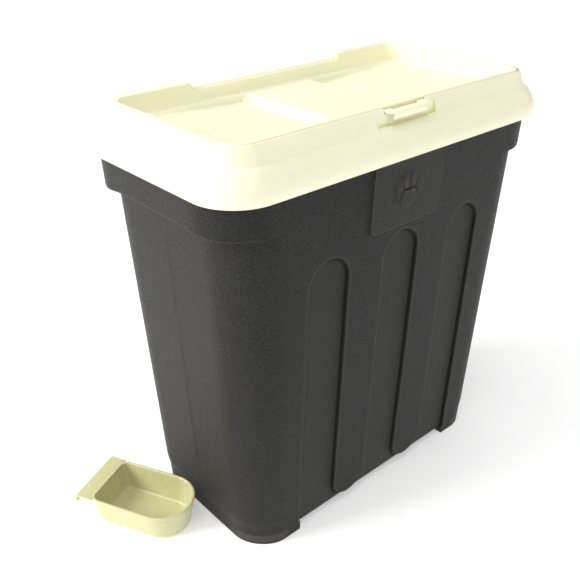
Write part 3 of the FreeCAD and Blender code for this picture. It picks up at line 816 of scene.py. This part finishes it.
def make_flap():
    layout = Layout(graded(80.0, 6.0, [(29.0, 53.0, 1.3)]), 14, np.linspace(-1, 1, 19), 12)
    rings = []

    def tray(inset, z):
        size, centre = tray_size(inset)
        points = layout.ring(*size, 0.0, centre)
        points[:, 2] = z
        rings.append(points)

    def floor(inset, drop):
        size, centre = tray_size(inset)
        points = layout.ring(*size, 0.0, centre)
        points[:, 2] = floor_height(points[:, 0], points[:, 1]) - drop
        rings.append(points)

    def rim(inset, z):
        rings.append(lid_ring(layout, FLAP_INSET + inset, z))

    insets = list(np.arange(20.5, 78.0, 5.2))[::-1] + list(np.arange(9.8, 20.4, 0.95))[::-1]
    for inset in insets:
        floor(inset, 0.0)
    low = RIM_WIDTH + TRAY_DRAFT
    for angle in (15, 40, 65, 90):
        a = math.radians(angle)
        tray(low + TRAY_FILLET * (1 - math.sin(a)), TRAY_FLOOR + TRAY_FILLET * (1 - math.cos(a)))
    tray(RIM_WIDTH + 0.1, FLAP_TOP - 1.3)
    for angle in (30, 60, 90):
        a = math.radians(angle)
        tray(RIM_WIDTH - TRAY_LIP_ROUND * (1 - math.cos(a)), FLAP_TOP - TRAY_LIP_ROUND * (1 - math.sin(a)))
    for angle in (90, 67, 45, 22, 0):
        a = math.radians(angle)
        rim(RIM_EDGE_ROUND * (1 - math.cos(a)), FLAP_TOP - RIM_EDGE_ROUND * (1 - math.sin(a)))
    rim(0.0, RIM_BOTTOM + 0.3)
    rim(0.3, RIM_BOTTOM)
    wall_inset = RIM_WIDTH - TRAY_WALL
    tray(wall_inset, RIM_BOTTOM)
    tray(wall_inset + TRAY_DRAFT * 0.8, TRAY_FLOOR - TRAY_WALL + 2.4)
    tray(wall_inset + TRAY_DRAFT + 0.9, TRAY_FLOOR - TRAY_WALL + 0.5)
    tray(wall_inset + TRAY_DRAFT + 2.4, TRAY_FLOOR - TRAY_WALL)
    for inset in insets[::-1]:
        floor(inset, TRAY_WALL)

    faces = skin(rings, layout.count)
    faces += layout.close(0, False)
    faces += layout.close((len(rings) - 1) * layout.count, True)
    flap = make_object("flap_tray", np.concatenate(rings), faces)

    rear = LID["half_depth"] - FLAP_INSET
    for side in (-1, 1):
        near, far = side * KNUCKLE_START, side * (KNUCKLE_START + KNUCKLE_LENGTH)
        combine(flap, block("knuckle", min(near, far), max(near, far), KNUCKLE_FRONT, rear - 0.02,
                            HINGE_Z - KNUCKLE_BELOW_AXIS, KNUCKLE_TOP, 0.5), "UNION")
    for side in (-1, 1):
        near, far = side * (KNUCKLE_START + KNUCKLE_LENGTH), side * CHANNEL_OUTER_X
        combine(flap, block("channel", min(near, far), max(near, far), TRAY_BACK + TRAY_WALL,
                            rear - CHANNEL_BACK_WALL, RIM_BOTTOM - 1.0, FLAP_TOP - TRAY_WALL), "DIFFERENCE")
    combine(flap, block("low_wall", -KNUCKLE_START, KNUCKLE_START, TRAY_BACK - TRAY_WALL, 110.0,
                        RIM_BOTTOM, ABOVE_ALL), "DIFFERENCE")
    combine(flap, block("barrel_space", -KNUCKLE_START, KNUCKLE_START,
                        HINGE_Y - BARREL_RADIUS - BARREL_GAP, 110.0, 360.0, ABOVE_ALL), "DIFFERENCE")
    for side in (-1, 1):
        inner, outer = side * (KNUCKLE_START - 1.0), side * (KNUCKLE_START + FLAP_BORE_DEPTH)
        combine(flap, round_bar("bore", FLAP_BORE_RADIUS, min(inner, outer), max(inner, outer),
                                HINGE_Y, HINGE_Z, 32), "DIFFERENCE")
    return flap


flap = make_flap()
finish_piece(flap, LID_PLASTIC, "flap", "lid_flap")
for pin in ("hinge_pin_left", "hinge_pin_right"):
    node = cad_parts[pin]
    node.data.materials.clear()
    node.data.materials.append(PIN_PLASTIC)


# ---------------------------------------------------------------- clip
def make_clip():
    half, front, back, r = CLIP["half_width"], CLIP["front"], CLIP["back"], CLIP["corner"]
    slot_half, slot_front = CLIP_SLOT["half_width"], CLIP_SLOT["front"]
    right = [(half - r + r * math.sin(a), front + r - r * math.cos(a))
             for a in np.radians(np.linspace(0, 90, 9))]
    outline = right + [(half, back), (slot_half, back), (slot_half, slot_front)]
    outline += [(-x, y) for x, y in outline[::-1]]
    clip = prism("clip_plate", outline, 2, CLIP["low"], CLIP["high"], 0.55, 3)
    skirt = block("skirt", -CLIP_SKIRT["half_width"], CLIP_SKIRT["half_width"], front + 0.02,
                  front + CLIP_SKIRT["depth"], CLIP_SKIRT["bottom"], CLIP["low"] + 1.1, 0.5)
    return combine(clip, skirt, "UNION")


clip = make_clip()
finish_piece(clip, LID_PLASTIC, "clip", "flap_clip")


# ---------------------------------------------------------------- scoop
def scoop_ring(inset, z):
    """D-shaped outline: square end at the handle, round end away from it."""
    half = SCOOP_HALF_WIDTH - inset
    corner = max(SCOOP_CORNER - inset, 2.5)
    centre = SCOOP_LENGTH - SCOOP_HALF_WIDTH
    run = np.linspace(inset + corner, centre, 11)
    parts = [np.stack([run, np.full(11, -half)], 1)]
    bow = np.radians(np.linspace(-90, 90, 37)[1:-1])
    parts.append(np.stack([centre + half * np.cos(bow), half * np.sin(bow)], 1))
    parts.append(np.stack([run[::-1], np.full(11, half)], 1))
    for start, sign in ((90, 1), (180, -1)):
        bend = np.radians(start + np.linspace(0, 90, 8)[1:-1])
        parts.append(np.stack([inset + corner + corner * np.cos(bend),
                               sign * (half - corner) + corner * np.sin(bend)], 1))
        if sign > 0:
            rung = np.linspace(half - corner, corner - half, 9)
            parts.append(np.stack([np.full(9, inset), rung], 1))
    flat = np.concatenate(parts)
    return np.column_stack([flat, np.full(len(flat), z)])


def make_scoop():
    outer = curve_through([(8.1, 0.0), (6.4, 0.7), (5.2, 2.4), (4.5, 5.0)], 3)
    wall = [(3.3, 13.0), (2.1, 21.0), (1.1, 27.2)]
    bead = curve_through([(1.0, 27.8), (0.25, 28.3), (0.0, 29.0), (0.35, 29.7), (1.2, SCOOP_TOP),
                          (2.2, 29.9), (2.9, 29.3)], 3)
    inner = [(3.5, 26.0), (4.3, 18.0), (5.3, 11.0)]
    foot = curve_through([(6.3, 6.0), (7.0, 3.9), (8.4, 2.6), (10.6, 2.0)], 3)
    section = [(26.0, 0.0), (16.0, 0.0)] + outer + wall + bead + inner + foot + [(16.0, 2.0), (26.0, 2.0)]
    rings = [scoop_ring(inset, z) for inset, z in section]
    count = len(rings[0])
    faces = skin(rings, count)
    top = (len(rings) - 1) * count
    faces += [list(range(count))[::-1], list(range(top, top + count))]
    scoop = make_object("scoop_bowl", np.concatenate(rings), faces)

    bend = np.radians(np.linspace(90, 180, 7))
    lip = [(3.0, 30.0)] + [(-12.4 + 2.6 * math.cos(a), 27.4 + 2.6 * math.sin(a)) for a in bend]
    lip += [(-15.0, 21.5), (-13.0, 21.5)]
    lip += [(-12.0 + 1.0 * math.cos(a), 27.0 + 1.0 * math.sin(a)) for a in bend[::-1]]
    lip += [(3.0, 28.0)]
    combine(scoop, prism("hook", lip, 1, -SCOOP_HALF_WIDTH + 0.02, SCOOP_HALF_WIDTH - 0.02, 0.45, 2),
            "UNION")
    turn = Matrix.Rotation(math.radians(SCOOP_TURN), 4, "Z")
    move = Matrix.Translation(Vector((SCOOP_ORIGIN[0] * MM, SCOOP_ORIGIN[1] * MM, 0.0)))
    scoop.data.transform(move @ turn)
    return scoop


scoop = make_scoop()
finish_piece(scoop, SCOOP_PLASTIC, "scoop", "scoop", 38.0)


# ---------------------------------------------------------------- floor, light and camera
# Lengths in this section are in metres and powers in watts.
FLOOR_REACH = 6.0
FLOOR_Z = -0.0002
GLOW_REACH = (0.5, 2.0)
FLOOR_GLOW = (0.34, 0.62)
WORLD_STRENGTH = 0.50
CAMERA_PLACE = (-0.4588, -0.4724, 0.5510)
CAMERA_TURN = (61.02, 0.15, -41.77)


def floor_material():
    n = Nodes("floor_paper")
    colour = n.mix(n.ramp(n.noise(3.0, 3.0), 0.3, 0.7), (0.90, 0.90, 0.90), (0.93, 0.93, 0.925))
    n.link(colour, n.shader.inputs["Base Color"])
    n.link(n.ramp(n.noise(40.0, 2.0), 0.3, 0.7, 0.75, 0.9), n.shader.inputs["Roughness"])
    n.link(n.bump(n.noise(900.0, 2.0), 0.1, 0.0001), n.shader.inputs["Normal"])
    # The paper is lifted towards white away from the bin, where the lamps no longer reach.
    reach = n.add("ShaderNodeVectorMath", operation="LENGTH")
    n.link(n.place, reach.inputs[0])
    n.shader.inputs["Emission Color"].default_value = (1.0, 1.0, 1.0, 1.0)
    n.link(n.ramp(reach.outputs["Value"], *GLOW_REACH, *FLOOR_GLOW), n.shader.inputs["Emission Strength"])
    return n.material


floor_mesh = bpy.data.meshes.new("floor")
floor_mesh.from_pydata([(x * FLOOR_REACH, y * FLOOR_REACH, FLOOR_Z)
                        for x, y in ((-1, -1), (1, -1), (1, 1), (-1, 1))], [], [(0, 1, 2, 3)])
floor_object = bpy.data.objects.new("floor", floor_mesh)
bpy.context.scene.collection.objects.link(floor_object)
floor_mesh.materials.append(floor_material())

world = bpy.data.worlds.new("studio")
bpy.context.scene.world = world
world.use_nodes = True
background = world.node_tree.nodes["Background"]
background.inputs[0].default_value = (1.0, 1.0, 1.0, 1.0)
background.inputs[1].default_value = WORLD_STRENGTH


def soft_light(name, place, target, size, power, colour=(1.0, 1.0, 1.0)):
    """Rectangular area lamp at place, facing target."""
    lamp = bpy.data.lights.new(name, "AREA")
    lamp.shape = "RECTANGLE"
    lamp.size, lamp.size_y = size
    lamp.energy = power
    lamp.color = colour
    obj = bpy.data.objects.new(name, lamp)
    bpy.context.scene.collection.objects.link(obj)
    obj.location = place
    obj.rotation_euler = (Vector(target) - Vector(place)).to_track_quat("-Z", "Y").to_euler()


soft_light("key_back_left", (-1.55, 0.75, 1.15), (0.0, 0.0, 0.2), (1.0, 1.0), 37.0, (1.0, 0.99, 0.97))
soft_light("top", (-0.4, -0.1, 1.9), (0.0, 0.0, 0.3), (1.2, 1.0), 11.0)
soft_light("front_fill", (0.3, -1.9, 1.1), (0.0, 0.0, 0.30), (0.9, 0.6), 6.5)

camera = bpy.data.cameras.new("camera")
camera.lens = 47.48
camera.sensor_width = 36.0
camera.shift_x = -0.0078
camera.shift_y = 0.0003
camera.clip_start = 0.01
camera.clip_end = 50.0
camera_object = bpy.data.objects.new("camera", camera)
bpy.context.scene.collection.objects.link(camera_object)
camera_object.location = Vector(CAMERA_PLACE) + ORIGIN_SHIFT
camera_object.rotation_euler = Euler([math.radians(angle) for angle in CAMERA_TURN])
bpy.context.scene.camera = camera_object
bpy.context.scene.view_settings.view_transform = "Standard"

bpy.context.view_layer.update()
